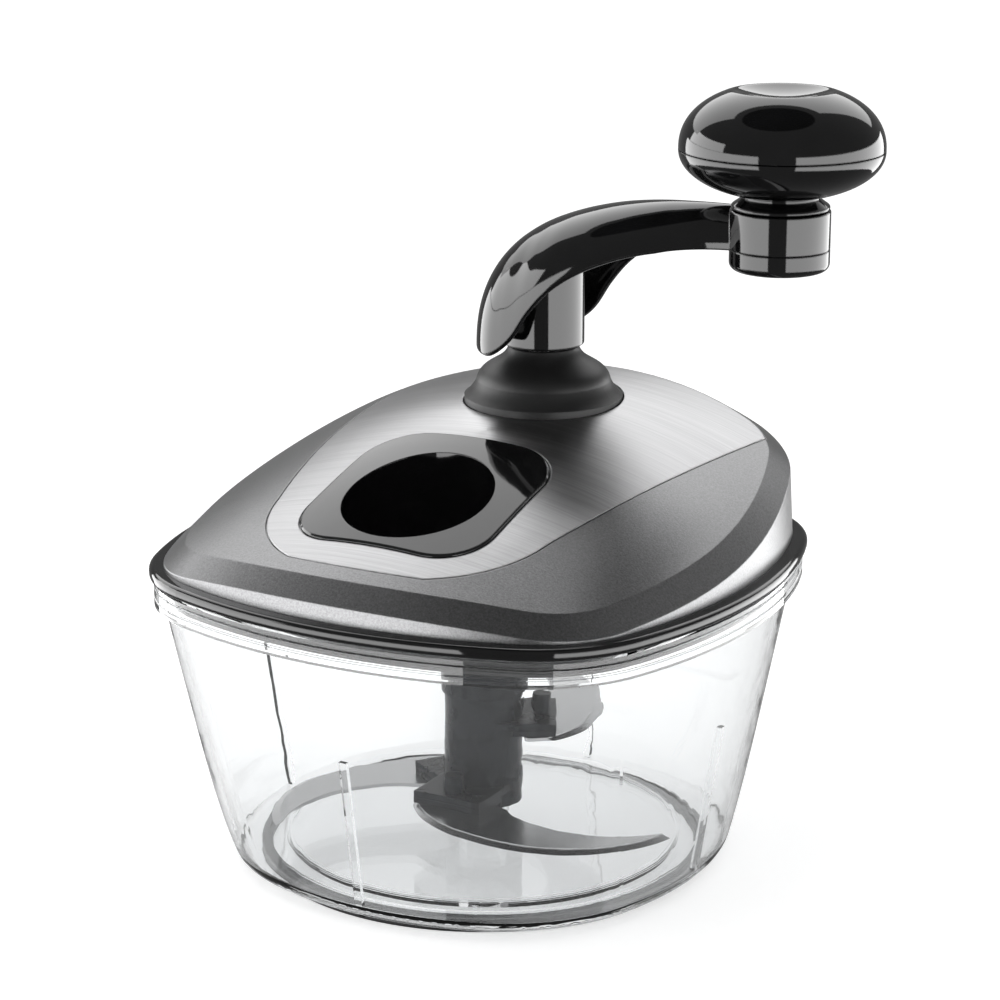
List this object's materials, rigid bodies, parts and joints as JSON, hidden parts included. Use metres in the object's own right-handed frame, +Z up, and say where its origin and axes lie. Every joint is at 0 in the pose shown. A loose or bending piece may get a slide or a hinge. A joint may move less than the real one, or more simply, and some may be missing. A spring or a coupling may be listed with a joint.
{
  "type": "hand-cranked food chopper",
  "caption": "Clear bowl with a domed lid; a crank with a turning knob drives sickle blades on a spindle through gears; a filler cup opens in the lid.",
  "frame": {"origin": "centre of the foot on the bowl's axis, on the plane the foot stands on", "axes": "+Z up along the bowl's and the spindle's axis, -Y towards the side with the filler cup, +X towards the knob when the crank is at rest"},
  "size_m": [0.2144, 0.1964, 0.2516],
  "materials": {
    "clear_plastic": "clear",
    "black_rubber": "matte",
    "steel": "satin",
    "metallic_anthracite": "matte, fine metallic speckle",
    "gloss_black": "gloss",
    "matte_black": "matte",
    "dark_blue_grey": "satin",
    "bearing_plastic": "matte"
  },
  "bodies": {
    "base": {"bowl": "clear_plastic", "foot_ring": "black_rubber", "pivot_pin": "steel"},
    "lid": {"lid_base": "gloss_black", "rim_seal": "black_rubber", "top_shell": "metallic_anthracite", "steel_cover": "steel", "filler_cup": "gloss_black", "bearing_tower": "matte_black", "lid_screws": "steel", "crank_upper_bush": "bearing_plastic", "crank_lower_bush": "bearing_plastic", "output_bush": "bearing_plastic"},
    "crank": {"crank_shaft": "steel", "crank_gear": "bearing_plastic", "crank_gear_clip": "steel", "hub_sleeve": "gloss_black", "crank_arm": "gloss_black", "eye_cap": "gloss_black", "knob_pin": "steel"},
    "knob": {"knob_ring": "gloss_black", "knob_lower": "gloss_black", "knob_upper": "gloss_black"},
    "output": {"output_shaft": "steel", "output_pinion": "bearing_plastic", "pinion_clip": "steel", "drive_dog": "dark_blue_grey"},
    "blades": {"spindle": "dark_blue_grey", "blade_clamp_1": "dark_blue_grey", "blade_clamp_2": "dark_blue_grey", "blade_clamp_3": "dark_blue_grey", "blade_1": "steel", "blade_2": "steel", "blade_3": "steel", "blade_pins": "steel"}
  },
  "joints": [
    {"name": "lid_lift", "type": "slide", "parent": "base", "child": "lid", "axis": [0, 0, 1], "range_m": [0, 0.1]},
    {"name": "crank_spin", "type": "hinge", "parent": "lid", "child": "crank", "pos_m": [0, 0.04, 0.1], "axis": [0, 0, 1], "continuous": true},
    {"name": "output_spin", "type": "hinge", "parent": "lid", "child": "output", "pos_m": [0, 0, 0.1], "axis": [0, 0, 1], "continuous": true},
    {"name": "blade_spin", "type": "hinge", "parent": "base", "child": "blades", "pos_m": [0, 0, 0.03], "axis": [0, 0, 1], "continuous": true},
    {"name": "knob_spin", "type": "hinge", "parent": "crank", "child": "knob", "pos_m": [0.084, 0.04, 0.22], "axis": [0, 0, 1], "continuous": true}
  ],
  "couplings": [
    {"joint": "output_spin", "follows": "crank_spin", "ratio": -3},
    {"joint": "blade_spin", "follows": "crank_spin", "ratio": -3}
  ]
}
